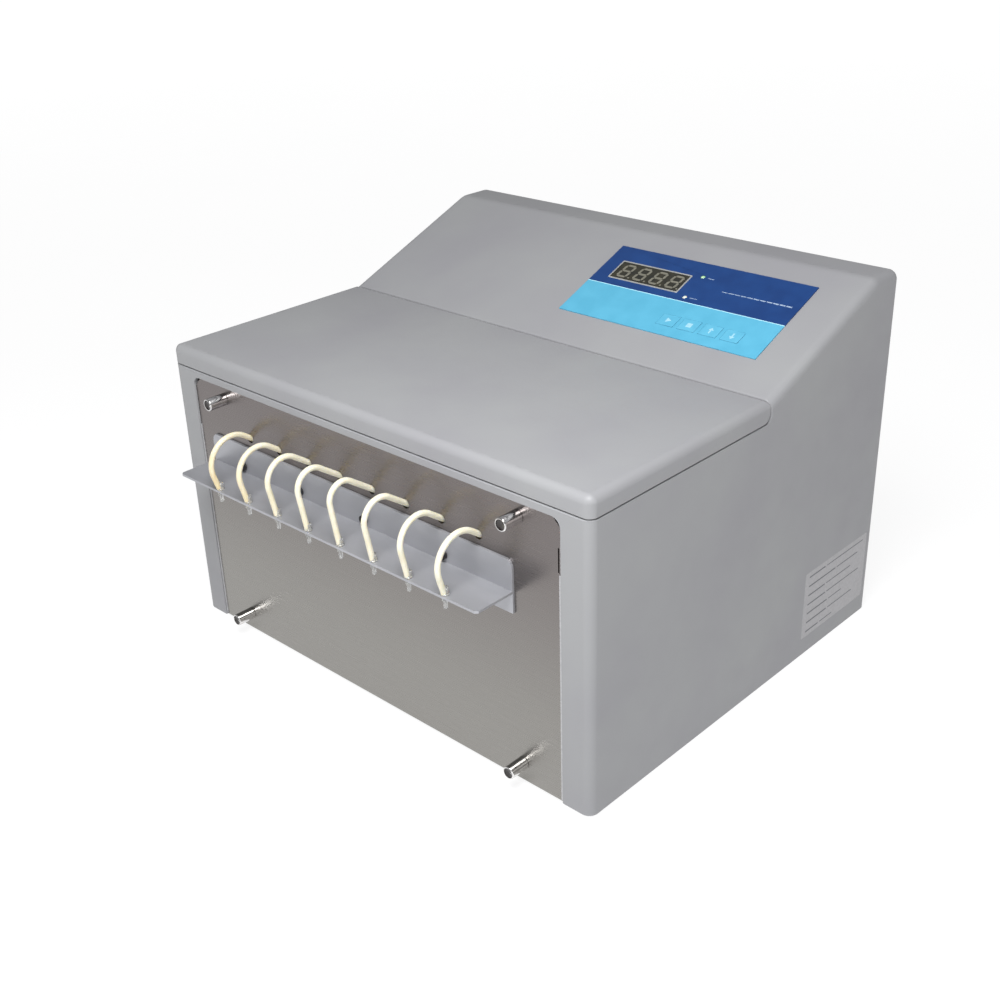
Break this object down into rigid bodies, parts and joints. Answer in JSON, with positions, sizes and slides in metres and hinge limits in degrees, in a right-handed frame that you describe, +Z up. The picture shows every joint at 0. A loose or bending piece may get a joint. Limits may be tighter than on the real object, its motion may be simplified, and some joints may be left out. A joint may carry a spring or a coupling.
{
  "type": "peristaltic pump",
  "caption": "Benchtop multichannel peristaltic dispensing pump with a hinged lid, sloping control console, front nozzle rail and roller pump inside.",
  "frame": {"origin": "centre of the whole model's footprint, on the surface it stands on", "axes": "+X to the right seen from the front, +Y towards the back, +Z up"},
  "size_m": [0.35, 0.3398, 0.2405],
  "materials": {
    "shell_paint": "fine-textured light grey paint",
    "steel_sheet": "satin stainless",
    "bright_steel": "polished",
    "zinc_sheet": "zinc plated",
    "black_screw": "blackened",
    "foot_rubber": "matt",
    "tube_elastomer": "translucent cream, smooth",
    "clear_plastic": "translucent",
    "black_plastic": "fine texture",
    "red_plastic": "gloss",
    "rotor_alloy": "turned",
    "chassis_alloy": "anodised",
    "cassette_plastic": "moulded acetal",
    "motor_body": "cast ends, black laminations",
    "board": "solder mask",
    "supply_case": "stamped sheet",
    "display_black": "gloss",
    "overlay": "printed film",
    "key_film": "printed film",
    "window_film": "tinted clear film",
    "lamp_lens": "diffused",
    "label_film": "printed foil, blank"
  },
  "bodies": {
    "case": {"housing": "shell_paint", "base_plate": "zinc_sheet", "rubber_feet": "foot_rubber", "front_plate": "steel_sheet", "front_studs": "bright_steel", "nozzle_rail": "steel_sheet", "rail_screws": "black_screw", "nozzles": "clear_plastic", "inlet_barbs": "clear_plastic", "rear_panel": "zinc_sheet", "case_screws": "bright_steel", "power_inlet": "black_plastic", "switch_bezel": "black_plastic", "partition": "zinc_sheet", "pump_chassis": "chassis_alloy", "chassis_posts": "bright_steel", "shaft_bearing": "bright_steel", "cassette_rods": "bright_steel", "stepper_motor": "motor_body", "power_supply": "supply_case", "control_board": "board", "display_board": "board", "display_module": "display_black", "display_window": "window_film", "membrane_panel": "overlay", "lamps": "lamp_lens", "rating_label": "label_film", "hinge_leaves": "zinc_sheet", "hinge_pins": "bright_steel", "pump_tube_1": "tube_elastomer", "pump_tube_2": "tube_elastomer", "pump_tube_3": "tube_elastomer", "pump_tube_4": "tube_elastomer", "pump_tube_5": "tube_elastomer", "pump_tube_6": "tube_elastomer", "pump_tube_7": "tube_elastomer", "pump_tube_8": "tube_elastomer"},
    "lid": {"lid": "shell_paint"},
    "rotor": {"drive_shaft": "bright_steel", "rotor_discs": "rotor_alloy", "roller_pins": "bright_steel"},
    "rocker": {"power_rocker": "red_plastic"},
    "roller_1_body": {"roller_1": "rotor_alloy"},
    "roller_2_body": {"roller_2": "rotor_alloy"},
    "roller_3_body": {"roller_3": "rotor_alloy"},
    "roller_4_body": {"roller_4": "rotor_alloy"},
    "roller_5_body": {"roller_5": "rotor_alloy"},
    "roller_6_body": {"roller_6": "rotor_alloy"},
    "cassette_1_body": {"cassette_1": "cassette_plastic"},
    "cassette_2_body": {"cassette_2": "cassette_plastic"},
    "cassette_3_body": {"cassette_3": "cassette_plastic"},
    "cassette_4_body": {"cassette_4": "cassette_plastic"},
    "cassette_5_body": {"cassette_5": "cassette_plastic"},
    "cassette_6_body": {"cassette_6": "cassette_plastic"},
    "cassette_7_body": {"cassette_7": "cassette_plastic"},
    "cassette_8_body": {"cassette_8": "cassette_plastic"},
    "key_1_body": {"key_1": "key_film"},
    "key_2_body": {"key_2": "key_film"},
    "key_3_body": {"key_3": "key_film"},
    "key_4_body": {"key_4": "key_film"}
  },
  "joints": [
    {"name": "lid_hinge", "type": "hinge", "parent": "case", "child": "lid", "pos_m": [0, 0.01707, 0.1944], "axis": [-1, 0, 0], "range_deg": [0, 96]},
    {"name": "rotor_spin", "type": "hinge", "parent": "case", "child": "rotor", "pos_m": [0, -0.06813, 0.1131], "axis": [1, 0, 0], "continuous": true},
    {"name": "roller_1_spin", "type": "hinge", "parent": "rotor", "child": "roller_1_body", "pos_m": [0, -0.04977, 0.11801], "axis": [1, 0, 0], "continuous": true},
    {"name": "roller_2_spin", "type": "hinge", "parent": "rotor", "child": "roller_2_body", "pos_m": [0, -0.06321, 0.13145], "axis": [1, 0, 0], "continuous": true},
    {"name": "roller_3_spin", "type": "hinge", "parent": "rotor", "child": "roller_3_body", "pos_m": [0, -0.08156, 0.12653], "axis": [1, 0, 0], "continuous": true},
    {"name": "roller_4_spin", "type": "hinge", "parent": "rotor", "child": "roller_4_body", "pos_m": [0, -0.08648, 0.10818], "axis": [1, 0, 0], "continuous": true},
    {"name": "roller_5_spin", "type": "hinge", "parent": "rotor", "child": "roller_5_body", "pos_m": [0, -0.07304, 0.09474], "axis": [1, 0, 0], "continuous": true},
    {"name": "roller_6_spin", "type": "hinge", "parent": "rotor", "child": "roller_6_body", "pos_m": [0, -0.05469, 0.09966], "axis": [1, 0, 0], "continuous": true},
    {"name": "cassette_1_hinge", "type": "hinge", "parent": "case", "child": "cassette_1_body", "pos_m": [-0.10205, -0.02712, 0.1388], "axis": [-1, 0, 0], "range_deg": [0, 28]},
    {"name": "cassette_2_hinge", "type": "hinge", "parent": "case", "child": "cassette_2_body", "pos_m": [-0.07375, -0.02712, 0.1388], "axis": [-1, 0, 0], "range_deg": [0, 28]},
    {"name": "cassette_3_hinge", "type": "hinge", "parent": "case", "child": "cassette_3_body", "pos_m": [-0.04545, -0.02712, 0.1388], "axis": [-1, 0, 0], "range_deg": [0, 28]},
    {"name": "cassette_4_hinge", "type": "hinge", "parent": "case", "child": "cassette_4_body", "pos_m": [-0.01715, -0.02712, 0.1388], "axis": [-1, 0, 0], "range_deg": [0, 28]},
    {"name": "cassette_5_hinge", "type": "hinge", "parent": "case", "child": "cassette_5_body", "pos_m": [0.01115, -0.02712, 0.1388], "axis": [-1, 0, 0], "range_deg": [0, 28]},
    {"name": "cassette_6_hinge", "type": "hinge", "parent": "case", "child": "cassette_6_body", "pos_m": [0.03945, -0.02712, 0.1388], "axis": [-1, 0, 0], "range_deg": [0, 28]},
    {"name": "cassette_7_hinge", "type": "hinge", "parent": "case", "child": "cassette_7_body", "pos_m": [0.06775, -0.02712, 0.1388], "axis": [-1, 0, 0], "range_deg": [0, 28]},
    {"name": "cassette_8_hinge", "type": "hinge", "parent": "case", "child": "cassette_8_body", "pos_m": [0.09605, -0.02712, 0.1388], "axis": [-1, 0, 0], "range_deg": [0, 28]},
    {"name": "key_1_press", "type": "slide", "parent": "case", "child": "key_1_body", "axis": [0, 0.3686, -0.9296], "range_m": [0, 0.0004], "stiffness_N_per_m": 800},
    {"name": "key_2_press", "type": "slide", "parent": "case", "child": "key_2_body", "axis": [0, 0.3686, -0.9296], "range_m": [0, 0.0004], "stiffness_N_per_m": 800},
    {"name": "key_3_press", "type": "slide", "parent": "case", "child": "key_3_body", "axis": [0, 0.3686, -0.9296], "range_m": [0, 0.0004], "stiffness_N_per_m": 800},
    {"name": "key_4_press", "type": "slide", "parent": "case", "child": "key_4_body", "axis": [0, 0.3686, -0.9296], "range_m": [0, 0.0004], "stiffness_N_per_m": 800},
    {"name": "rocker_tilt", "type": "hinge", "parent": "case", "child": "rocker", "pos_m": [-0.055, 0.15288, 0.045], "axis": [1, 0, 0], "range_deg": [0, 18]}
  ],
  "couplings": [
    {"joint": "roller_1_spin", "follows": "rotor_spin", "ratio": -4.1667},
    {"joint": "roller_2_spin", "follows": "rotor_spin", "ratio": -4.1667},
    {"joint": "roller_3_spin", "follows": "rotor_spin", "ratio": -4.1667},
    {"joint": "roller_4_spin", "follows": "rotor_spin", "ratio": -4.1667},
    {"joint": "roller_5_spin", "follows": "rotor_spin", "ratio": -4.1667},
    {"joint": "roller_6_spin", "follows": "rotor_spin", "ratio": -4.1667}
  ]
}
